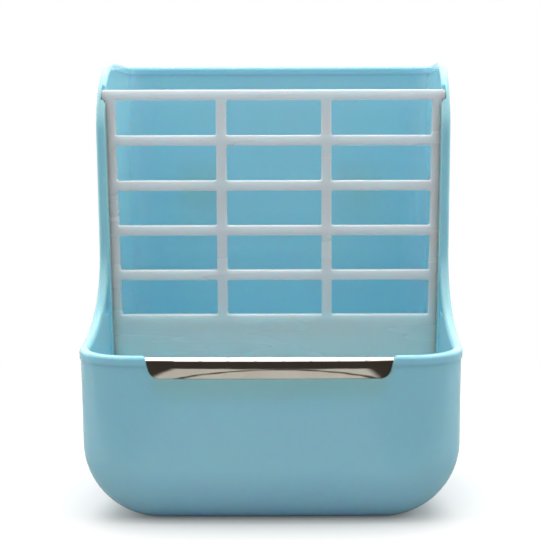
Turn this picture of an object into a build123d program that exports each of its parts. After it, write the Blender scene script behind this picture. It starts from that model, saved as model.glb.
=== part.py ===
from build123d import *
import math
import os

# Hay feeder box: a food bowl with a hay rack behind it, for rabbits and guinea pigs.
#
# Millimetres, +Z up, front towards -Y. The origin is the middle of the base, on the surface it
# stands on. The shell is one moulding; a lift-out grid parts the bowl from the hay, and a folded
# steel strip guards the front rim against gnawing. Behind the back wall, two bolts slide by their
# heads into slotted bosses, and clamp discs and wing nuts on them hold the box to the wires of a
# cage.

# ------------------------------------------------------------------ shell, outer form
depth = 130.0                    # front face to back face
height = 210.4                   # base to the top of the back
back_half_width = 81.4           # half the width of the back, at the top
plan_taper = 1.95                # degrees that each side opens towards the front
bowl_flare = 3.0                 # extra half width of the bowl, over that taper
flare_start_y = -5.0             # where the flare begins
flare_end_y = -52.0              # where it is complete
outer_draft = 0.6                # degrees that each side leans out, going up
lower_corner_radius = 35.0       # lower corners, seen from the front
front_edge_radius = 24.0         # round edge of the front face, seen from the front
back_edge_radius = 18.0          # round edge of the back face, seen from behind
edge_flatness = 1.55             # those round edges are this much wider than they are deep
front_bow_radius = 2000.0        # the front face is bowed by a large circle

# ------------------------------------------------------------------ shell, walls and floor
side_wall = 2.9                  # at the top edge
front_wall = 2.8
back_wall = 2.8
floor_thickness = 3.0
inner_draft = 0.95               # degrees that the inside leans out, going up

# ------------------------------------------------------------------ shell, line of the rim
front_rim_z = 76.6               # rim height in the middle of the front
ramp_end_y = -53.5               # the rim rises from the front face to here
ramp_blend_radius = 18.0
sweep_bottom_z = 77.6            # lowest point of the hollow sweep up to the tower
sweep_radius = 44.0
tower_front_y = -13.5            # upright front edge of the tower
tower_round_radius = 34.0        # shoulder at the top of the tower
rim_proud = 0.5                  # how far the rim stands out of the wall, outside
rim_inward = 0.3                 # and inside
rim_depth = 4.2                  # how far the thick rim reaches down the wall
rim_round = 1.6                  # rounding of both rim edges

# ------------------------------------------------------------------ hay grid
grid_front_y = -9.5
grid_thickness = 4.0
grid_side_gap = 0.3              # between the grid and the walls, each side
grid_floor_gap = 0.3
grid_top_z = 196.1               # upper face of the top bar
bar_height = 5.0
bar_pitch = 21.6                 # upper face to upper face
bar_rows = 6
post_width = 4.9                 # the two inner uprights
post_x = 25.2
side_post_width = 4.4
plate_thickness = 2.6            # solid lower part, flush with the front of the bars
plate_border = 5.0               # full-depth border of the plate
top_bar_overhang = 1.6           # how far the top bar reaches past the grid, each side
top_bar_end_radius = 1.2         # its round ends
bar_edge_round = 0.7
window_corner_radius = 0.8

# ------------------------------------------------------------------ what holds the grid
notch_gap = 0.3                  # round the ends of the top bar
catch_height = 0.7               # small step in front of the bar end
guide_rib_width = 1.8
guide_rib_reach = 2.4            # how far the ribs behind the grid stand out of the wall
guide_rib_top_gap = 4.0          # from their upper end to the top bar
front_rib_reach = 0.8            # the ribs in front of it, which cover the edge of the grid
front_rib_setback = 0.1          # from the line of the rim back to these ribs
front_rib_drop = 0.4             # from the bottom of the notch down to their upper end
front_rib_round = 1.2            # rounding of that end
rib_root = 0.9                   # how deep every rib is sunk into the wall
floor_rib_height = 5.0
floor_rib_half_length = 44.0
recess_front_y = -34.0           # shallow pockets in the side walls, before the rim cuts them off
recess_back_y = -13.9
recess_bottom_z = 89.0
recess_top_z = 112.0
recess_depth = 1.2
recess_corner_radius = 2.5
recess_rim_gap = 2.0             # from the line of the rim to the pocket

# ------------------------------------------------------------------ steel chew guard
guard_thickness = 0.5
guard_top_z = 76.1
guard_bottom_z = 66.6
guard_inner_bottom_z = 58.0      # lower edge of the leaf inside the bowl
guard_half_width_top = 55.6
guard_half_width_bottom = 53.0
guard_corner_radius = 5.0
guard_curl = 0.35                # how far the lower edge of the outer leaf curls in
guard_pocket_depth = 1.0         # pocket in the front wall that it sits in
guard_inner_relief = 0.12        # the wall is this much thinner inside, below the fold
guard_gap = 0.25                 # round its edge, in the pocket
rim_end_round = 1.2              # rounding of the rim where it ends beside the guard
guard_seat_gap = 0.15            # under its fold, and behind its inner leaf

# ------------------------------------------------------------------ cage clamps behind the back
clamp_x = 42.0
clamp_z = 150.0
bolt_diameter = 6.0
bolt_reach = 24.0                # shank beyond the boss
bolt_end_chamfer = 0.8
bolt_head_flats = 10.0
bolt_head_height = 4.0
boss_width = 24.0
boss_above_bolt = 13.0
boss_below_bolt = 14.0
boss_lip = 2.8                   # what holds the bolt head back
boss_corner_radius = 5.0
boss_edge_round = 1.0
head_slot_gap = 0.3              # round the bolt head, each side
neck_slot_gap = 0.3              # round the shank in the lip
thread_gap = 0.06                # radial, between bolt and nut
disc_gap = 0.15                  # radial, between bolt and clamp disc
clamp_opening = 5.0              # boss to disc, as drawn
disc_diameter = 34.0
disc_thickness = 3.0
disc_hub_diameter = 16.0
disc_hub_height = 2.0
disc_edge_round = 1.0
nut_disc_gap = 0.3
nut_hub_base_diameter = 13.0
nut_hub_top_diameter = 10.0
nut_height = 8.0
wing_reach = 16.0                # from the nut's axis to the tip of a wing
wing_thickness = 2.6
wing_height = 13.0
wing_tip_radius = 4.2
wing_root_x = 4.0                # the wings start this far from the axis, inside the hub
wing_root_inset = 0.9            # and this far from both ends of the hub

# ------------------------------------------------------------------ derived places
front_y = -depth / 2
back_y = depth / 2
grid_back_y = grid_front_y + grid_thickness
bow_axis_y = front_y + front_bow_radius
boss_face_y = back_y + bolt_head_height + 2 * head_slot_gap + boss_lip
guide_rib_top_z = grid_top_z - bar_height - guide_rib_top_gap
notch_floor_z = grid_top_z - bar_height - notch_gap
front_rib_top_z = notch_floor_z - front_rib_drop
fold_inner_radius = (front_wall + guard_seat_gap - guard_thickness) / 2
lower_inner_radius = lower_corner_radius - side_wall

# ------------------------------------------------------------------ how the blanks are drawn
block_top = height + 12.0        # the blanks are cut down to the line of the rim
margin = 20.0                    # cutters reach this far past what they cut
face_overrun = 1.0               # blanks and slots run this far past a face
base_trim = 0.02                 # cut off the blank's underside, to leave a true plane
side_sections = 12               # cross-sections that the sides are drawn through
line_tolerance = 0.01            # an edge this near the line of the rim lies on it


def side_half_width(y):
    """Half the outer width at the top edge, at a place along the depth."""
    taper = math.tan(math.radians(plan_taper)) * (back_y - y)
    t = (flare_start_y - y) / (flare_start_y - flare_end_y)
    t = min(max(t, 0.0), 1.0)
    return back_half_width + taper + bowl_flare * t * t * (3 - 2 * t)


def outer_half_width(y, z):
    """Half the outer width at a place along the depth and a height."""
    return side_half_width(y) - (height - z) * math.tan(math.radians(outer_draft))


def inner_half_width(y, z):
    """Half the inner width at a place along the depth and a height."""
    lean = (height - z) * math.tan(math.radians(inner_draft))
    return side_half_width(y) - side_wall - lean


def cross_section(y, half_width, floor_z, corner):
    """Upright section across the box: straight leaning sides and two round lower corners."""
    top = half_width(y, block_top)
    bottom = half_width(y, floor_z)
    outline = Polyline(
        (top, block_top), (bottom, floor_z), (-bottom, floor_z), (-top, block_top), close=True
    )
    face = make_face(outline)
    lower = [v for v in face.vertices() if v.Y < block_top / 2]
    return Plane.XZ.offset(-y) * fillet(lower, corner)


def lower_edges(face):
    """The edges of a blank's front or back face, all but the one along its top."""
    return [e for e in face.edges() if e.center().Z < block_top - margin / 2]


def tub(half_width, front, back, floor_z, corner, front_radius, back_radius):
    """Solid of the box's form, from one face to the other, with all its lower edges rounded.

    It is drawn stretched along its depth and then pressed back, which makes the round edges of
    the two faces wider than they are deep.
    """
    start = front - face_overrun
    sections = []
    for i in range(side_sections + 1):
        y = start + (back - start) * i / side_sections
        stretch = Pos(0, y * (edge_flatness - 1), 0)
        sections.append(stretch * cross_section(y, half_width, floor_z, corner))
    bow_radius = front_bow_radius / edge_flatness
    bow = Cylinder(bow_radius, 2 * block_top + margin)
    body = loft(sections) & (Pos(0, front * edge_flatness + bow_radius, block_top) * bow)
    front_face = body.faces().sort_by(Axis.Y)[0]
    body = fillet(lower_edges(front_face), front_radius)
    back_face = body.faces().sort_by(Axis.Y)[-1]
    body = fillet(lower_edges(back_face), back_radius)
    return scale(body, by=(1, 1 / edge_flatness, 1))


def outer_tub(grow):
    """The outside of the shell, or that outside grown by a little for the rim."""
    return tub(
        lambda y, z: outer_half_width(y, z) + grow,
        front_y - grow,
        back_y + grow,
        -base_trim - grow,
        lower_corner_radius + grow,
        front_edge_radius + grow,
        back_edge_radius + grow,
    )


def inner_tub(shrink):
    """The hollow of the shell, shrunk by a little, or grown where shrink is negative."""
    return tub(
        lambda y, z: inner_half_width(y, z) - shrink,
        front_y + front_wall + shrink,
        back_y - back_wall - shrink,
        floor_thickness + shrink,
        lower_inner_radius - shrink,
        front_edge_radius - front_wall - shrink,
        back_edge_radius - back_wall - shrink,
    )


def block(x, y, z):
    """A box given by its two limits along each axis."""
    size = (x[1] - x[0], y[1] - y[0], z[1] - z[0])
    return Pos(x[0], y[0], z[0]) * Box(*size, align=(Align.MIN, Align.MIN, Align.MIN))


def on_both_sides(body):
    """A body with its mirror image across the middle plane."""
    return [body, mirror(body, about=Plane.YZ)]


def rim_region(drop):
    """Everything below the line of the rim, or below a line parallel to it."""
    sweep_y = tower_front_y - sweep_radius
    sweep_z = sweep_bottom_z + sweep_radius
    shoulder_z = height - tower_round_radius
    ramp_end_z = sweep_z - math.sqrt(sweep_radius**2 - (ramp_end_y - sweep_y) ** 2)
    slope = (ramp_end_z - front_rim_z) / (ramp_end_y - front_y)
    far = back_y + 2 * margin
    ramp_start = (-far, front_rim_z - slope * (far + front_y))
    ramp = Line(ramp_start, (ramp_end_y, ramp_end_z))
    sweep_start = math.degrees(math.atan2(ramp_end_z - sweep_z, ramp_end_y - sweep_y))
    sweep = CenterArc((sweep_y, sweep_z), sweep_radius, sweep_start, -sweep_start)
    edge = Line((tower_front_y, sweep_z), (tower_front_y, shoulder_z))
    round_centre = (tower_front_y + tower_round_radius, shoulder_z)
    shoulder = CenterArc(round_centre, tower_round_radius, 180, -90)
    top = Line((round_centre[0], height), (far, height))
    sides = Polyline((far, height), (far, -2 * margin), (-far, -2 * margin), ramp_start)
    face = make_face(Curve() + [ramp, sweep, edge, shoulder, top, sides])
    corner = face.vertices().sort_by_distance((ramp_end_y, ramp_end_z, 0))[0]
    face = fillet(corner, ramp_blend_radius)
    if drop:
        face = offset(face, -drop, kind=Kind.INTERSECTION)
    return extrude(Plane.YZ * face, side_half_width(front_y) + margin, both=True)


def rim_line():
    """The line of the rim seen from the side, in the plane X = 0."""
    outline = rim_region(0).faces().sort_by(Axis.X)[0]
    return Pos(-outline.center().X, 0, 0) * outline.outer_wire()


def rim_edges(body):
    """The long edges of the rim, inside and outside, all the way round."""
    line = rim_line()
    longest_cross_edge = side_wall + 3 * rim_proud

    def lies_on_line(edge):
        points = [edge.position_at(t) for t in (0.1, 0.5, 0.9)]
        return all(line.distance_to(Vector(0, p.Y, p.Z)) < line_tolerance for p in points)

    def runs_across(edge):
        start = edge.position_at(0)
        end = edge.position_at(1)
        level = abs(end.Y - start.Y) + abs(end.Z - start.Z) < line_tolerance
        return level and edge.length < longest_cross_edge

    return [e for e in body.edges() if lies_on_line(e) and not runs_across(e)]


def shell_blank():
    """The shell with its rounded rim, before the notches, pockets, ribs and holes."""
    below_rim = rim_region(0)
    below_lip = rim_region(rim_depth)
    far = side_half_width(front_y) + margin
    above_base = block((-far, far), (-depth, depth), (0, block_top))
    wall = outer_tub(0) & below_rim & above_base
    lip = (outer_tub(rim_proud) & below_rim) - below_lip
    body = (wall + lip) - (inner_tub(0) & below_lip) - inner_tub(rim_inward)
    return fillet(rim_edges(body), rim_round)


def guide_ribs():
    """A rib up both walls and across the floor behind the grid, and a low one in front of it."""
    hollow = inner_tub(-rib_root)
    far = side_half_width(front_y)
    behind = grid_back_y + grid_floor_gap
    rear = block((-far, far), (behind, behind + guide_rib_width), (0, guide_rib_top_z)) & hollow
    ahead = grid_front_y - grid_floor_gap
    span = (-floor_rib_half_length, floor_rib_half_length)
    height_limit = (0, floor_thickness + floor_rib_height)
    front = block(span, (ahead - guide_rib_width, ahead), height_limit) & hollow
    return (rear - inner_tub(guide_rib_reach)) + front


def rib_end_waste():
    """What rounds the upper end of the right-hand rib in front of the grid."""
    x = inner_half_width(grid_front_y, front_rib_top_z) - front_rib_reach
    turn_x = x + front_rib_round
    turn_z = front_rib_top_z - front_rib_round
    far = (turn_x - margin, turn_x), (turn_z, turn_z + margin)
    corner = block(far[0], (tower_front_y - margin, grid_front_y), far[1])
    round_end = Pos(turn_x, tower_front_y, turn_z) * Rot(X=90) * Cylinder(front_rib_round, 3 * margin)
    return corner - round_end


def front_ribs():
    """A low rib up both walls and across the floor in front of the grid."""
    far = side_half_width(front_y)
    span_y = (tower_front_y, grid_front_y - grid_floor_gap)
    body = block((-far, far), span_y, (0, front_rib_top_z)) & inner_tub(-rib_root)
    body = (body & rim_region(front_rib_setback)) - inner_tub(front_rib_reach)
    for waste in on_both_sides(rib_end_waste()):
        body -= waste
    return body


def grid_way():
    """The grid's way down past the rim, which stands in from the walls."""
    far = side_half_width(front_y)
    span_y = (grid_front_y - grid_side_gap, grid_back_y + grid_side_gap)
    return block((-far, far), span_y, (front_rim_z, block_top)) & inner_tub(0)


def side_recess():
    """Shallow rounded pocket in the right-hand wall, in front of the grid."""
    middle = ((recess_front_y + recess_back_y) / 2, (recess_bottom_z + recess_top_z) / 2)
    outline = RectangleRounded(
        recess_back_y - recess_front_y, recess_top_z - recess_bottom_z, recess_corner_radius
    )
    far = side_half_width(front_y)
    prism = extrude(Plane.YZ * Pos(*middle) * outline, far)
    return prism & inner_tub(-recess_depth) & rim_region(recess_rim_gap)


def grid_half_width(z):
    """Half the width of the grid at a height."""
    return inner_half_width(grid_back_y, z) - grid_side_gap


def bar_end_x():
    """Half the length of the grid's top bar."""
    return grid_half_width(grid_top_z) + top_bar_overhang


def bar_notch():
    """Notch in the right-hand rim for the end of the top bar, with a catch in front of it."""
    start_x = inner_half_width(grid_back_y, notch_floor_z) - margin
    end_x = bar_end_x() + notch_gap
    seat_y = (grid_front_y - notch_gap, grid_back_y + notch_gap)
    seat = block((start_x, end_x), seat_y, (notch_floor_z, block_top))
    mouth_y = (grid_front_y - margin, grid_front_y - notch_gap)
    mouth = block((start_x, end_x), mouth_y, (notch_floor_z + catch_height, block_top))
    return seat + mouth


def guard_side_x(z):
    """Where the side of the guard's outer leaf is at a height."""
    lean = (guard_half_width_top - guard_half_width_bottom) / (guard_top_z - guard_bottom_z)
    return guard_half_width_top + lean * (z - guard_top_z)


def guard_outline(grow):
    """Outline of the guard's outer leaf, open upwards, grown by a little for its pocket."""
    top_z = guard_top_z + margin
    low_z = guard_bottom_z - grow
    top = guard_side_x(top_z) + grow
    bottom = guard_side_x(low_z) + grow
    corners = [(top, top_z), (bottom, low_z), (-bottom, low_z), (-top, top_z)]
    face = make_face(Polyline(*corners, close=True))
    lower = [v for v in face.vertices() if v.Y < guard_top_z]
    return fillet(lower, guard_corner_radius + grow)


def bow_cylinder(y):
    """Solid cylinder whose front line lies at a place along the depth, parallel to the front face."""
    return Pos(0, bow_axis_y, block_top / 2) * Cylinder(bow_axis_y - y, block_top + margin)


def through_front(outline):
    """Prism of an outline, drawn in the plane of the front, through the front wall."""
    return extrude(Plane.XZ.offset(-front_y - margin) * outline, 2 * margin)


def rim_end_outline():
    """Outline of what rounds the end of the rim, at the right of the guard."""
    turn_z = front_rim_z - rim_end_round
    turn_x = guard_side_x(turn_z) + guard_gap + rim_end_round
    corner = Pos(turn_x, turn_z) * Rectangle(2 * rim_end_round, margin, align=(Align.MAX, Align.MIN))
    return corner - Pos(turn_x, turn_z) * Circle(rim_end_round)


def guard_pocket():
    """What the front wall loses so that the guard's fold lies over it, level with the rim."""
    outline = guard_outline(guard_gap)
    for corner in on_both_sides(rim_end_outline()):
        outline += corner
    prism = through_front(outline)
    outside = prism - bow_cylinder(front_y + guard_pocket_depth)
    inside = prism & bow_cylinder(front_y + front_wall - guard_inner_relief)
    wall_top = guard_top_z - guard_thickness - guard_seat_gap - fold_inner_radius
    half_width = side_half_width(front_y)
    above = prism & block((-half_width, half_width), (-depth, depth), (wall_top, block_top))
    return outside + inside + above


def bolt_boss(x):
    """Boss on the back wall for one bolt."""
    size_z = boss_above_bolt + boss_below_bolt
    middle_z = clamp_z + (boss_above_bolt - boss_below_bolt) / 2
    outline = RectangleRounded(boss_width, size_z, boss_corner_radius)
    root_y = back_y - back_wall / 2
    body = Pos(x, boss_face_y, middle_z) * extrude(Plane.XZ * outline, boss_face_y - root_y)
    outer_edges = body.faces().sort_by(Axis.Y)[-1].edges()
    return fillet(outer_edges, boss_edge_round)


def bolt_slot(x):
    """Slot open at the top: wide for the head, narrow through the lip for the shank."""
    head_half = bolt_head_flats / 2 + head_slot_gap
    head_low = clamp_z - bolt_head_flats / math.sqrt(3) - head_slot_gap
    top = clamp_z + boss_above_bolt + face_overrun
    wide = block((x - head_half, x + head_half), (back_y, boss_face_y - boss_lip), (head_low, top))
    neck_half = bolt_diameter / 2 + neck_slot_gap
    lip_y = (boss_face_y - boss_lip - face_overrun, boss_face_y + face_overrun)
    narrow = block((x - neck_half, x + neck_half), lip_y, (clamp_z, top))
    end = Pos(x, boss_face_y, clamp_z) * Rot(X=90) * Cylinder(neck_half, 2 * (boss_lip + face_overrun))
    return wide + narrow + (end & block((x - boss_width, x + boss_width), lip_y, (0, top)))


def make_shell():
    """The one-piece plastic shell."""
    body = shell_blank() - grid_way() + guide_ribs() + front_ribs()
    for cutter in on_both_sides(side_recess()) + on_both_sides(bar_notch()):
        body -= cutter
    body -= guard_pocket()
    for x in (-clamp_x, clamp_x):
        body += bolt_boss(x)
        body -= bolt_slot(x)
    return body


def bar_top(row):
    """Height of the upper face of a cross bar, counted down from the top one."""
    return grid_top_z - row * bar_pitch


def grid_outline():
    """Outline of the grid without the ends of its top bar."""
    floor_z = floor_thickness + grid_floor_gap
    low = grid_half_width(floor_z)
    high = grid_half_width(grid_top_z)
    corners = [(high, grid_top_z), (low, floor_z), (-low, floor_z), (-high, grid_top_z)]
    face = make_face(Polyline(*corners, close=True))
    lower = [v for v in face.vertices() if v.Y < grid_top_z / 2]
    return fillet(lower, lower_inner_radius)


def grid_windows():
    """The openings between the cross bars and the uprights."""
    post_half = post_width / 2
    windows = []
    for row in range(bar_rows - 1):
        high_z = bar_top(row) - bar_height
        low_z = bar_top(row + 1)
        high_x = grid_half_width(high_z) - side_post_width
        low_x = grid_half_width(low_z) - side_post_width
        inner_x = post_x - post_half
        outer_x = post_x + post_half
        middle = [(-inner_x, low_z), (inner_x, low_z), (inner_x, high_z), (-inner_x, high_z)]
        right = [(outer_x, low_z), (low_x, low_z), (high_x, high_z), (outer_x, high_z)]
        left = [(-x, z) for x, z in right]
        for corners in (left, middle, right):
            face = make_face(Polyline(*corners, close=True))
            windows.append(fillet(face.vertices(), window_corner_radius))
    return windows


def make_grid():
    """The white lift-out grid: bars above, a solid plate below."""
    face = grid_outline()
    for window in grid_windows():
        face -= window
    bar_middle_z = grid_top_z - bar_height / 2
    top_bar = Pos(0, bar_middle_z) * RectangleRounded(2 * bar_end_x(), bar_height, top_bar_end_radius)
    face += top_bar
    body = extrude(Plane.XZ.offset(-grid_back_y) * face, grid_thickness)
    flat_faces = body.faces().filter_by(Axis.Y)
    body = fillet([e for f in flat_faces for e in f.edges()], bar_edge_round)
    relief_bottom = floor_thickness + grid_floor_gap + plate_border
    relief_top = bar_top(bar_rows - 1) - bar_height
    low = grid_half_width(relief_bottom) - plate_border
    high = grid_half_width(relief_top) - plate_border
    corners = [(high, relief_top), (low, relief_bottom), (-low, relief_bottom), (-high, relief_top)]
    relief = make_face(Polyline(*corners, close=True))
    lower = [v for v in relief.vertices() if v.Y < (relief_bottom + relief_top) / 2]
    relief = fillet(lower, lower_inner_radius - plate_border)
    cutter = extrude(Plane.XZ.offset(-grid_back_y) * relief, grid_thickness - plate_thickness)
    return body - cutter


def guard_section():
    """Section of the folded strip: outer leaf, fold over the wall, inner leaf."""
    t = guard_thickness
    inner_y = front_y + front_wall + guard_seat_gap + t
    curl_y = front_y + guard_curl
    fold_z = guard_top_z - fold_inner_radius - t
    middle_y = (front_y + inner_y) / 2
    down = (0, -1)
    edges = [
        TangentArc((front_y, fold_z), (curl_y, guard_bottom_z), tangent=down),
        ThreePointArc((front_y, fold_z), (middle_y, guard_top_z), (inner_y, fold_z)),
        Line((inner_y, fold_z), (inner_y, guard_inner_bottom_z)),
        Line((inner_y, guard_inner_bottom_z), (inner_y - t, guard_inner_bottom_z)),
        Line((inner_y - t, guard_inner_bottom_z), (inner_y - t, fold_z)),
        ThreePointArc((inner_y - t, fold_z), (middle_y, guard_top_z - t), (front_y + t, fold_z)),
        TangentArc((front_y + t, fold_z), (curl_y + t, guard_bottom_z), tangent=down),
        Line((curl_y + t, guard_bottom_z), (curl_y, guard_bottom_z)),
    ]
    return make_face(Curve() + edges)


def make_guard():
    """The stainless strip folded over the front rim."""
    reach = math.degrees((guard_half_width_top + margin) / front_bow_radius)
    axis = Axis((0, bow_axis_y, 0), (0, 0, 1))
    section = Plane.YZ * guard_section()
    strip = revolve(section, axis, reach) + revolve(section, axis, -reach)
    behind_middle = bow_cylinder(front_y + front_wall / 2)
    leaf_x = guard_half_width_bottom
    leaf_top = guard_top_z + margin
    leaf_low = guard_inner_bottom_z
    corners = [(leaf_x, leaf_top), (leaf_x, leaf_low), (-leaf_x, leaf_low), (-leaf_x, leaf_top)]
    leaf = make_face(Polyline(*corners, close=True))
    lower = [v for v in leaf.vertices() if v.Y < guard_bottom_z]
    leaf = fillet(lower, guard_corner_radius)
    outer_half = strip - behind_middle
    inner_half = strip & behind_middle
    return (outer_half & through_front(guard_outline(0))) + (inner_half & through_front(leaf))


def make_bolt(x):
    """Hexagon-head bolt whose head sits in the slot of its boss."""
    head_outline = RegularPolygon(bolt_head_flats / 2, 6, major_radius=False, rotation=30)
    head = extrude(head_outline, bolt_head_height)
    top_edges = head.faces().sort_by(Axis.Z)[-1].edges()
    head = chamfer(top_edges, bolt_end_chamfer / 2)
    shank_length = head_slot_gap + boss_lip + bolt_reach
    shank = Pos(0, 0, -shank_length / 2) * Cylinder(bolt_diameter / 2, shank_length)
    tip = shank.faces().sort_by(Axis.Z)[0].edges()
    body = head + chamfer(tip, bolt_end_chamfer)
    return Pos(x, boss_face_y - boss_lip - head_slot_gap, clamp_z) * Rot(X=90) * body


def make_clamp_disc(x):
    """Round disc that presses the cage wires against the back wall."""
    plate = Pos(0, 0, disc_thickness / 2) * Cylinder(disc_diameter / 2, disc_thickness)
    plate = fillet(plate.edges().filter_by(GeomType.CIRCLE), disc_edge_round)
    hub_height = disc_thickness + disc_hub_height
    hub = Pos(0, 0, hub_height / 2) * Cylinder(disc_hub_diameter / 2, hub_height)
    bore = Cylinder(bolt_diameter / 2 + disc_gap, 4 * hub_height)
    body = plate + hub - bore
    return Pos(x, boss_face_y + clamp_opening, clamp_z) * Rot(X=-90) * body


def make_wing_nut(x):
    """Wing nut on the bolt, behind the disc."""
    hub = Cone(nut_hub_base_diameter / 2, nut_hub_top_diameter / 2, nut_height)
    body = Pos(0, 0, nut_height / 2) * hub
    tip_centre = (wing_reach - wing_tip_radius, wing_height - wing_tip_radius)
    tip = Pos(*tip_centre) * Circle(wing_tip_radius)
    root = Line((wing_root_x, wing_root_inset), (wing_root_x, nut_height - wing_root_inset))
    wing = extrude(Plane.XZ * make_hull([*tip.edges(), root]), wing_thickness / 2, both=True)
    for piece in on_both_sides(wing):
        body += piece
    body -= Cylinder(bolt_diameter / 2 + thread_gap, 4 * nut_height)
    nut_y = boss_face_y + clamp_opening + disc_thickness + disc_hub_height + nut_disc_gap
    return Pos(x, nut_y, clamp_z) * Rot(X=-90) * body


def all_parts():
    """Every piece of the box by name."""
    parts = {
        "body_shell": make_shell(),
        "hay_grid": make_grid(),
        "chew_guard": make_guard(),
    }
    for side, x in (("left", -clamp_x), ("right", clamp_x)):
        parts["clamp_bolt_" + side] = make_bolt(x)
        parts["clamp_disc_" + side] = make_clamp_disc(x)
        parts["wing_nut_" + side] = make_wing_nut(x)
    return parts


os.makedirs("parts", exist_ok=True)
for name, body in all_parts().items():
    export_step(body, "parts/" + name + ".step")
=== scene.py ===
import math

import bmesh
import bpy
from mathutils import Matrix, Vector


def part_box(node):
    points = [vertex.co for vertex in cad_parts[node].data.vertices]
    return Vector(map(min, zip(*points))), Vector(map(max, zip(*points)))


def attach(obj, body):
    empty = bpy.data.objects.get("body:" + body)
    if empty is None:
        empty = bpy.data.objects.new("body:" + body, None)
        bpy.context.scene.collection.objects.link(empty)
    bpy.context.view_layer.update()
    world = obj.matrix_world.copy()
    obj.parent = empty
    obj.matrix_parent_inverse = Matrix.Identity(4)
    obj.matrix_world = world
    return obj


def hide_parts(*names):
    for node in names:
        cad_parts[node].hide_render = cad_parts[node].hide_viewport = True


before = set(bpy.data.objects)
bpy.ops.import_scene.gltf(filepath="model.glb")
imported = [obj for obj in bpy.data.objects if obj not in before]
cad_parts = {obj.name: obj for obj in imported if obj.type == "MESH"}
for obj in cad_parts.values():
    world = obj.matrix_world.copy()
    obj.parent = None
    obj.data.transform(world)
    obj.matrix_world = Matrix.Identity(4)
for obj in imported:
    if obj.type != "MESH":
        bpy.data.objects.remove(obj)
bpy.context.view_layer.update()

# ------------------------------------------------------------------ camera
IMAGE_PX = 540
FOCAL_PX = 1348.0
SENSOR_MM = 36.0
VIEW_CENTRE_PX = 336.0           # column of the image that the camera looks along
CAMERA_PLACE = (0.0297, -0.657, 0.1754)
CAMERA_PITCH = 5.8               # degrees below the horizon
CAMERA_ROLL = -0.12              # degrees
CAMERA_CLIP = 0.01

# ------------------------------------------------------------------ room
WHITE = (1.0, 1.0, 1.0)
ROOM_FRONT = 0.37                # radiance of the room in front of the object, at the horizon
ROOM_SIDE = 0.50                 # to the left and right
ROOM_BACK = 1.05                 # behind
ROOM_TOP = 0.76                  # added straight up

# Gloss and metal see a brighter room than this, with a ceiling light and a dim end. Each pair
# below is a step along one axis of a ray's direction: where it is half done, and its softness.
ROOM_MIRRORED = 0.90
ROOM_MIRRORED_TOP = 2.60         # the ceiling
ROOM_MIRRORED_DARK = (0.09, 0.075, 0.055)    # the dim end, low in front of the object
CEILING_UP = (0.35, 0.2)
DIM_END_AHEAD = (-0.5, -0.2)
DIM_END_LOW = (0.15, -0.05)

# ------------------------------------------------------------------ lamps
SOFTBOX_PLACE = (0.0, 0.16, 1.15)
SOFTBOX_TARGET = (0.0, 0.0, 0.0)
SOFTBOX_SIZE = (1.3, 0.9)
SOFTBOX_WATTS = 9.5
STRIP_X = 0.95                   # a strip light on each side, which shines level
STRIP_Y = 0.10
STRIP_Z = 0.35
STRIP_SIZE = (0.25, 0.9)
STRIP_WATTS = 1.0

# ------------------------------------------------------------------ floor
FLOOR_SIZE = 3.0
FLOOR_Z = -0.0002                # just under the object
FLOOR_FADE_START = 0.22          # the floor turns to plain white between these radii
FLOOR_FADE_END = 0.42
FLOOR_LIT = (0.87, 0.855, 0.85)  # its colour as the camera sees it
FLOOR_LIFT = 0.08                # light that the camera sees even in the deepest shadow
FLOOR_BOUNCE = (0.30, 0.30, 0.30)    # its colour as the object's plain surfaces see it

# Painted reflection: gloss and metal see the floor painted as a pale sheet with dark
# surroundings and a dark arch, which give the steel guard painted reflection bands. The camera
# and plain surfaces don't see the sheet.
FLOOR_MIRRORED = (0.53, 0.52, 0.475)
FLOOR_MIRRORED_DARK = (0.04, 0.035, 0.028)
SHEET_FRONT_Y = -0.342           # the sheet ends here in front
SHEET_LEFT_X = -0.089            # and here at its sides
SHEET_RIGHT_X = 0.063
SHEET_SIDES_FROM_Y = -0.16       # behind this line it has no sides
SHEET_EDGE = 0.004               # softness of its edges
REFLECTED_ARCH_APEX = (-0.005, -0.334)   # the painted dark arch, and this is its nearest point
REFLECTED_ARCH_FOOT_Y = -0.262           # it is this far back at the half span
REFLECTED_ARCH_HALF_SPAN = 0.059
REFLECTED_ARCH_WIDTH = 0.009
REFLECTED_ARCH_DARKNESS = 0.95

# ------------------------------------------------------------------ bolts, metres
BOLT_RADIUS = 0.003
BOLT_HEAD_FLATS = 0.010
BOLT_HEAD_HEIGHT = 0.004
BOLT_HEAD_CHAMFER = 0.0006
BOLT_CORNER_CUT = 0.4            # off the corners at the back of the head, in chamfers
BOLT_CHAMFER = 0.0008            # at the end of the shank
BOLT_SMOOTH_ANGLE = 35           # degrees; a sharper edge is shaded as an edge
THREAD_PITCH = 0.001
THREAD_DEPTH = 0.0005
THREAD_START = 0.0035            # from the head to where the thread begins to deepen
THREAD_STEEPNESS = 2.4           # of its flanks, in thread depths a pitch
THREAD_SEGMENTS = 48             # points round the bolt
THREAD_STEPS = 10                # rings for each turn of the thread
RING_ANGLES = [2 * math.pi * k / THREAD_SEGMENTS for k in range(THREAD_SEGMENTS)]

# ------------------------------------------------------------------ colours, linear
TURQUOISE = (0.415, 0.765, 0.85)
TURQUOISE_DEEP = (0.395, 0.75, 0.84)
WHITE_PLASTIC = (0.88, 0.88, 0.89)
WHITE_PLASTIC_SHADE = (0.845, 0.85, 0.865)
GRID_PAINTED_BOUNCE_COLOUR = (0.70, 0.90, 0.99)     # painted bounce light: the grid is painted bluer low down, for the light the turquoise moulding bounces onto it
GRID_PAINTED_BOUNCE_TOP = 0.115             # and turns to that painted colour between these heights
GRID_PAINTED_BOUNCE_BOTTOM = 0.070
STAINLESS = (0.66, 0.63, 0.59)
STAINLESS_DARK = (0.55, 0.52, 0.48)
ZINC = (0.62, 0.63, 0.64)
ZINC_DULL = (0.42, 0.43, 0.44)

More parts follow.
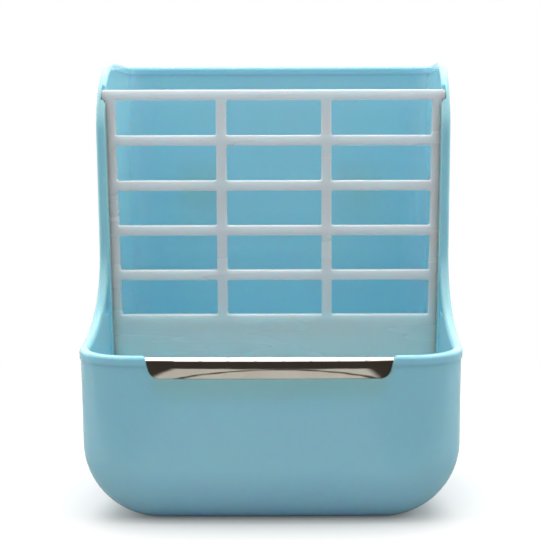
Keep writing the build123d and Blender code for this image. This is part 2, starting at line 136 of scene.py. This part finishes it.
# ------------------------------------------------------------------ finish of the plastics
TURQUOISE_FINISH = {
    "roughness": 0.14,
    "grain": 0.10,                           # strength of the fine skin
    "glow": 0.85,                            # share of the light that goes in and comes out
    "glow_reach": (0.001, 0.003, 0.0042),    # how far it goes, in red, green and blue
}
WHITE_FINISH = {
    "roughness": 0.26,
    "grain": 0.12,
    "glow": 1.0,
    "glow_reach": (0.005, 0.009, 0.012),
}
GRID_CLEARNESS = 0.12            # the thin grid lets a little light straight through
PLASTIC_IOR = 1.49
CLOUD_SCALE = 14.0               # scales of the noises, in waves a metre: mottled colour
FLOW_SCALE = 30.0                # flow marks
FLOW_STRETCH = (0.3, 1.0, 2.4)
SKIN_SCALE = 1500.0              # fine skin
FLOW_STRENGTH = 0.06
FLOW_HEIGHT = 0.0004
SKIN_HEIGHT = 0.00004
ROUGHNESS_BELOW = 0.03           # how far the flow marks change the roughness
ROUGHNESS_ABOVE = 0.04

# ------------------------------------------------------------------ finish of the metals
STAINLESS_FINISH = {
    "roughness": 0.035,
    "line_stretch": (0.03, 1.0, 1.0),        # brushed along the strip
    "cloud_scale": 60.0,
}
ZINC_FINISH = {
    "roughness": 0.28,
    "line_stretch": (1.0, 1.0, 1.0),         # no direction
    "cloud_scale": 500.0,
}
LINE_SCALE = 900.0
LINE_STRENGTH = 0.12
LINE_HEIGHT = 0.00003
METAL_SMOOTHEST = 0.8            # of the stated roughness
METAL_ROUGHEST = 1.3

NOISE_MIDDLE = (0.3, 0.7)        # a noise's values lie mostly between these


# ================================================================== materials
class Nodes:
    """A node tree of a material or world, with short ways to add and join nodes."""

    def __init__(self, owner):
        self.owner = owner
        owner.use_nodes = True
        self.tree = owner.node_tree
        self.tree.nodes.clear()

    def add(self, kind, settings=None, **inputs):
        """Adds a node; an input's name has _ for a space."""
        node = self.tree.nodes.new(kind)
        for key, value in (settings or {}).items():
            setattr(node, key, value)
        for key, value in inputs.items():
            self.feed(node, key.replace("_", " "), value)
        return node

    def feed(self, node, key, value):
        """Gives an input a value, or joins another node's output to it."""
        socket = node.inputs[int(key)] if key.isdigit() else node.inputs[key]
        if isinstance(value, bpy.types.NodeSocket):
            self.tree.links.new(value, socket)
        elif isinstance(value, (tuple, list)) and socket.type == "RGBA":
            socket.default_value = (*value, 1.0)[:4]
        else:
            socket.default_value = value

    def shader(self, kind, **inputs):
        return self.add(kind, **inputs).outputs[0]

    def noise(self, place, scale, detail=2.0, stretch=(1, 1, 1)):
        mapping = self.add("ShaderNodeMapping", Vector=place, Scale=stretch)
        texture = self.add(
            "ShaderNodeTexNoise", Vector=mapping.outputs[0], Scale=scale, Detail=detail
        )
        return texture.outputs["Fac"]

    def spread(self, value, low, high):
        """Maps a noise's middle range to low..high."""
        node = self.add("ShaderNodeMapRange", Value=value)
        node.inputs["From Min"].default_value = NOISE_MIDDLE[0]
        node.inputs["From Max"].default_value = NOISE_MIDDLE[1]
        node.inputs["To Min"].default_value = low
        node.inputs["To Max"].default_value = high
        return node.outputs[0]

    def step(self, value, edge, softness):
        """Rises smoothly from 0 to 1 round an edge, or falls where softness is below 0."""
        node = self.add("ShaderNodeMapRange", {"interpolation_type": "SMOOTHSTEP"}, Value=value)
        node.inputs["From Min"].default_value = edge - abs(softness)
        node.inputs["From Max"].default_value = edge + abs(softness)
        node.inputs["To Min"].default_value = 0.0 if softness > 0 else 1.0
        node.inputs["To Max"].default_value = 1.0 if softness > 0 else 0.0
        return node.outputs[0]

    def math(self, operation, first, second=0.0):
        node = self.add("ShaderNodeMath", {"operation": operation})
        self.feed(node, "0", first)
        self.feed(node, "1", second)
        return node.outputs[0]

    def blend(self, factor, first, second):
        """Mixes two colours."""
        node = self.add("ShaderNodeMix", {"data_type": "RGBA"})
        self.feed(node, "0", factor)
        self.feed(node, "6", first)
        self.feed(node, "7", second)
        return node.outputs[2]

    def choose(self, factor, first, second):
        """Mixes two shaders."""
        node = self.add("ShaderNodeMixShader", Fac=factor)
        self.feed(node, "1", first)
        self.feed(node, "2", second)
        return node.outputs[0]

    def bump(self, height, strength, distance, normal=None):
        node = self.add("ShaderNodeBump", Height=height, Strength=strength, Distance=distance)
        if normal:
            self.feed(node, "Normal", normal)
        return node.outputs[0]

    def principled(self, **inputs):
        surface = self.shader("ShaderNodeBsdfPrincipled", **inputs)
        self.add("ShaderNodeOutputMaterial", Surface=surface)


def plastic(name, colour, shade, roughness, grain, glow, glow_reach, clear=0.0, low=None):
    """Moulded plastic: a little cloudy in colour, with faint flow marks and a fine skin.

    low is a painted bounce colour for the lower part, standing in for light bounced onto it, and
    the heights where the turn to it begins and ends.
    """
    n = Nodes(bpy.data.materials.new(name))
    place = n.add("ShaderNodeTexCoord").outputs["Object"]
    cloud = n.noise(place, CLOUD_SCALE, detail=3.0)
    flow = n.noise(place, FLOW_SCALE, stretch=FLOW_STRETCH)
    skin = n.noise(place, SKIN_SCALE)
    mottled = n.blend(n.spread(cloud, 0.0, 1.0), colour, shade)
    # painted bounce light: the lower part is painted bluer, in place of light bounced from the
    # turquoise moulding
    if low:
        bounce_colour, top, bottom = low
        height = n.add("ShaderNodeSeparateXYZ", Vector=place).outputs["Z"]
        painted_bounce_mask = n.step(height, (top + bottom) / 2, (bottom - top) / 2)
        mottled = n.blend(painted_bounce_mask, mottled, bounce_colour)
    rough = n.spread(flow, roughness - ROUGHNESS_BELOW, roughness + ROUGHNESS_ABOVE)
    waves = n.bump(flow, FLOW_STRENGTH, FLOW_HEIGHT)
    normal = n.bump(skin, grain, SKIN_HEIGHT, waves)
    n.principled(
        Base_Color=mottled,
        Roughness=rough,
        Normal=normal,
        IOR=PLASTIC_IOR,
        Subsurface_Weight=glow,
        Subsurface_Radius=glow_reach,
        Subsurface_Scale=1.0,
        Transmission_Weight=clear,
    )
    return n.owner


def metal(name, colour, dull, roughness, line_stretch, cloud_scale):
    """Bare metal: fine lines along one direction, or mottled plating."""
    n = Nodes(bpy.data.materials.new(name))
    place = n.add("ShaderNodeTexCoord").outputs["Object"]
    lines = n.noise(place, LINE_SCALE, detail=3.0, stretch=line_stretch)
    cloud = n.noise(place, cloud_scale, detail=4.0)
    mottled = n.blend(n.spread(cloud, 0.0, 1.0), colour, dull)
    rough = n.spread(lines, roughness * METAL_SMOOTHEST, roughness * METAL_ROUGHEST)
    normal = n.bump(lines, LINE_STRENGTH, LINE_HEIGHT)
    n.principled(Base_Color=mottled, Metallic=1.0, Roughness=rough, Normal=normal)
    return n.owner


def put(node_name, material):
    """Gives a CAD node its material."""
    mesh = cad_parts[node_name].data
    mesh.materials.clear()
    mesh.materials.append(material)


turquoise = plastic("turquoise_plastic", TURQUOISE, TURQUOISE_DEEP, **TURQUOISE_FINISH)
white = plastic("white_plastic", WHITE_PLASTIC, WHITE_PLASTIC_SHADE, **WHITE_FINISH)
grid_white = plastic(
    "grid_plastic",
    WHITE_PLASTIC,
    WHITE_PLASTIC_SHADE,
    **WHITE_FINISH,
    clear=GRID_CLEARNESS,
    # the grid's lower part is painted bluer, a painted bounce of the turquoise moulding's light
    low=(GRID_PAINTED_BOUNCE_COLOUR, GRID_PAINTED_BOUNCE_TOP, GRID_PAINTED_BOUNCE_BOTTOM),
)
stainless = metal("stainless_strip", STAINLESS, STAINLESS_DARK, **STAINLESS_FINISH)
zinc = metal("zinc_steel", ZINC, ZINC_DULL, **ZINC_FINISH)
put("body_shell", turquoise)
put("hay_grid", grid_white)
put("chew_guard", stainless)
for side in ("left", "right"):
    put("clamp_disc_" + side, white)
    put("wing_nut_" + side, zinc)
    put("clamp_bolt_" + side, zinc)


# ================================================================== threaded bolts
def circle(radius):
    """Radii of a circular ring."""
    return [radius] * THREAD_SEGMENTS


def hexagon(corner_cut):
    """Radii of a ring round the hexagon head, with its corners cut by a circle."""
    corner = BOLT_HEAD_FLATS / math.sqrt(3) - corner_cut
    radii = []
    for angle in RING_ANGLES:
        from_flat = (angle + math.pi / 6) % (math.pi / 3) - math.pi / 6
        radii.append(min(BOLT_HEAD_FLATS / 2 / math.cos(from_flat), corner))
    return radii


def thread_radius(along, angle, shank):
    """Radius of the thread's surface, which starts shallow and ends in a chamfer."""
    phase = (along / THREAD_PITCH - angle / (2 * math.pi)) % 1.0
    depth = THREAD_DEPTH * min(1.0, THREAD_STEEPNESS * abs(phase - 0.5))
    fade = min(1.0, max(0.0, (along - THREAD_START) / THREAD_PITCH))
    tip = max(0.0, along - (shank - BOLT_CHAMFER))
    return min(BOLT_RADIUS - depth * fade, BOLT_RADIUS - tip)


def ring(bm, axis, along, radii):
    """A ring of points round the bolt's axis, with a radius for each angle."""
    points = []
    for angle, radius in zip(RING_ANGLES, radii):
        x = axis[0] + radius * math.sin(angle)
        z = axis[1] + radius * math.cos(angle)
        points.append(bm.verts.new((x, along, z)))
    return points


def bridge(bm, first, second):
    """Faces between two rings."""
    for i in range(THREAD_SEGMENTS):
        j = (i + 1) % THREAD_SEGMENTS
        bm.faces.new((first[i], first[j], second[j], second[i]))


def threaded_bolt(side):
    """A hexagon-head bolt with a real thread, where the CAD has its plain one."""
    low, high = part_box("clamp_bolt_" + side)
    axis = ((low[0] + high[0]) / 2, (low[2] + high[2]) / 2)
    head_back = low[1]
    head_front = head_back + BOLT_HEAD_HEIGHT
    shank = high[1] - head_front
    edge = BOLT_HEAD_CHAMFER
    bm = bmesh.new()
    rings = [
        ring(bm, axis, head_back, circle(BOLT_HEAD_FLATS / 2 - 2 * edge)),
        ring(bm, axis, head_back, circle(BOLT_HEAD_FLATS / 2 - edge)),
        ring(bm, axis, head_back + edge, hexagon(BOLT_CORNER_CUT * edge)),
        ring(bm, axis, head_front - edge / 2, hexagon(0.0)),
        ring(bm, axis, head_front, hexagon(edge)),
        ring(bm, axis, head_front, circle(BOLT_RADIUS)),
    ]
    steps = int(shank / THREAD_PITCH * THREAD_STEPS)
    for i in range(1, steps + 1):
        along = head_front + shank * i / steps
        radii = [thread_radius(along - head_front, angle, shank) for angle in RING_ANGLES]
        rings.append(ring(bm, axis, along, radii))
    for first, second in zip(rings, rings[1:]):
        bridge(bm, first, second)
    bm.faces.new(rings[0])
    bm.faces.new(rings[-1])
    bmesh.ops.recalc_face_normals(bm, faces=bm.faces)
    mesh = bpy.data.meshes.new("threaded_bolt_" + side)
    bm.to_mesh(mesh)
    bm.free()
    for face in mesh.polygons:
        face.use_smooth = len(face.vertices) == 4
    mesh.set_sharp_from_angle(angle=math.radians(BOLT_SMOOTH_ANGLE))
    mesh.materials.append(zinc)
    bolt = bpy.data.objects.new("threaded_bolt_" + side, mesh)
    bpy.context.scene.collection.objects.link(bolt)
    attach(bolt, "bolt_" + side)
    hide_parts("clamp_bolt_" + side)


for side in ("left", "right"):
    threaded_bolt(side)


# ================================================================== floor
def mirrored_sheet(n, place):
    """The floor's colour as gloss and metal see it: a painted reflection of a pale sheet with a
    dark arch on a dark ground.
    """
    x, y, z = n.add("ShaderNodeSeparateXYZ", Vector=place).outputs
    ahead = n.step(y, SHEET_FRONT_Y, -SHEET_EDGE)
    left = n.step(x, SHEET_LEFT_X, -SHEET_EDGE)
    right = n.step(x, SHEET_RIGHT_X, SHEET_EDGE)
    has_sides = n.step(y, SHEET_SIDES_FROM_Y, -SHEET_EDGE)
    beside = n.math("MULTIPLY", n.math("MAXIMUM", left, right), has_sides)
    # painted reflection: a dark arch painted on the floor for gloss rays only
    offset = n.math("DIVIDE", n.math("SUBTRACT", x, REFLECTED_ARCH_APEX[0]), REFLECTED_ARCH_HALF_SPAN)
    rise = n.math("MULTIPLY", n.math("MULTIPLY", offset, offset), REFLECTED_ARCH_FOOT_Y - REFLECTED_ARCH_APEX[1])
    arch_y = n.math("ADD", rise, REFLECTED_ARCH_APEX[1])
    off_arch = n.math("ABSOLUTE", n.math("SUBTRACT", y, arch_y))
    on_arch = n.step(off_arch, REFLECTED_ARCH_WIDTH, -REFLECTED_ARCH_WIDTH / 2)
    painted_arch = n.math("MULTIPLY", on_arch, REFLECTED_ARCH_DARKNESS)
    dark = n.math("MAXIMUM", n.math("MAXIMUM", ahead, beside), painted_arch)
    return n.blend(dark, FLOOR_MIRRORED, FLOOR_MIRRORED_DARK)


def floor_material():
    """White near the object, where it takes the shadow, and plain white further out."""
    n = Nodes(bpy.data.materials.new("floor_white"))
    place = n.add("ShaderNodeTexCoord").outputs["Object"]
    radius = n.add("ShaderNodeVectorMath", {"operation": "LENGTH"})
    n.feed(radius, "0", place)
    fade_middle = (FLOOR_FADE_START + FLOOR_FADE_END) / 2
    fade_softness = (FLOOR_FADE_END - FLOOR_FADE_START) / 2
    far = n.step(radius.outputs["Value"], fade_middle, fade_softness)
    near = n.add("ShaderNodeAddShader")
    n.feed(near, "0", n.shader("ShaderNodeBsdfDiffuse", Color=FLOOR_LIT))
    n.feed(near, "1", n.shader("ShaderNodeEmission", Color=WHITE, Strength=FLOOR_LIFT))
    plain = n.shader("ShaderNodeEmission", Color=WHITE, Strength=1.0)
    bounce = n.shader("ShaderNodeBsdfDiffuse", Color=FLOOR_BOUNCE)
    mirrored = n.shader("ShaderNodeBsdfDiffuse", Color=mirrored_sheet(n, place))
    path = n.add("ShaderNodeLightPath").outputs
    seen = n.choose(far, near.outputs[0], plain)
    unseen = n.choose(path["Is Glossy Ray"], bounce, mirrored)
    n.add("ShaderNodeOutputMaterial", Surface=n.choose(path["Is Camera Ray"], unseen, seen))
    return n.owner


def stage_floor():
    bm = bmesh.new()
    bmesh.ops.create_grid(bm, x_segments=1, y_segments=1, size=FLOOR_SIZE / 2)
    mesh = bpy.data.meshes.new("floor")
    bm.to_mesh(mesh)
    bm.free()
    mesh.materials.append(floor_material())
    floor = bpy.data.objects.new("floor", mesh)
    floor.matrix_world = Matrix.Translation((0, 0, FLOOR_Z))
    bpy.context.scene.collection.objects.link(floor)


stage_floor()


# ================================================================== light
def room():
    """A room that is bright above, beside and behind the object, and dimmer in front of it."""
    world = bpy.data.worlds.new("room")
    bpy.context.scene.world = world
    n = Nodes(world)
    direction = n.add("ShaderNodeTexCoord").outputs["Generated"]
    x, y, z = n.add("ShaderNodeSeparateXYZ", Vector=direction).outputs
    beside = n.math("MULTIPLY", n.math("MULTIPLY", x, x), ROOM_SIDE - ROOM_FRONT)
    behind = n.math("MULTIPLY", n.math("MAXIMUM", y, 0.0), ROOM_BACK - ROOM_FRONT)
    up = n.math("MAXIMUM", z, 0.0)
    above = n.math("MULTIPLY", n.math("MULTIPLY", up, up), ROOM_TOP)
    level = n.math("ADD", n.math("ADD", beside, behind), n.math("ADD", above, ROOM_FRONT))
    lit = n.shader("ShaderNodeBackground", Color=WHITE, Strength=level)
    ceiling = n.math("MULTIPLY", n.step(z, *CEILING_UP), ROOM_MIRRORED_TOP - ROOM_MIRRORED)
    mirrored_level = n.math("ADD", ceiling, ROOM_MIRRORED)
    mirrored_lit = n.shader("ShaderNodeBackground", Color=WHITE, Strength=mirrored_level)
    mirrored_dark = n.shader("ShaderNodeBackground", Color=ROOM_MIRRORED_DARK)
    dim_end = n.math("MULTIPLY", n.step(y, *DIM_END_AHEAD), n.step(z, *DIM_END_LOW))
    mirrored = n.choose(dim_end, mirrored_lit, mirrored_dark)
    background = n.shader("ShaderNodeBackground", Color=WHITE, Strength=1.0)
    path = n.add("ShaderNodeLightPath").outputs
    unseen = n.choose(path["Is Glossy Ray"], lit, mirrored)
    n.add("ShaderNodeOutputWorld", Surface=n.choose(path["Is Camera Ray"], unseen, background))


def area_light(name, place, target, size, watts):
    """A rectangular softbox that faces its target."""
    data = bpy.data.lights.new(name, "AREA")
    data.shape = "RECTANGLE"
    data.size = size[0]
    data.size_y = size[1]
    data.energy = watts
    light = bpy.data.objects.new(name, data)
    turn = (Vector(place) - Vector(target)).to_track_quat("Z", "Y")
    light.matrix_world = Matrix.Translation(place) @ turn.to_matrix().to_4x4()
    bpy.context.scene.collection.objects.link(light)


room()
area_light("softbox", SOFTBOX_PLACE, SOFTBOX_TARGET, SOFTBOX_SIZE, SOFTBOX_WATTS)
for side, sign in (("left", -1), ("right", 1)):
    place = (sign * STRIP_X, STRIP_Y, STRIP_Z)
    area_light("strip_" + side, place, (0.0, 0.0, STRIP_Z), STRIP_SIZE, STRIP_WATTS)

# ================================================================== camera and settings
camera_data = bpy.data.cameras.new("camera")
camera_data.sensor_width = SENSOR_MM
camera_data.lens = FOCAL_PX / IMAGE_PX * SENSOR_MM
camera_data.shift_x = -(VIEW_CENTRE_PX - IMAGE_PX / 2) / IMAGE_PX
camera_data.clip_start = CAMERA_CLIP
camera = bpy.data.objects.new("camera", camera_data)
bpy.context.scene.collection.objects.link(camera)
look = Matrix.Rotation(math.radians(90 - CAMERA_PITCH), 4, "X")
roll = Matrix.Rotation(math.radians(CAMERA_ROLL), 4, "Z")
camera.matrix_world = Matrix.Translation(CAMERA_PLACE) @ look @ roll
bpy.context.scene.camera = camera
bpy.context.scene.view_settings.view_transform = "Standard"
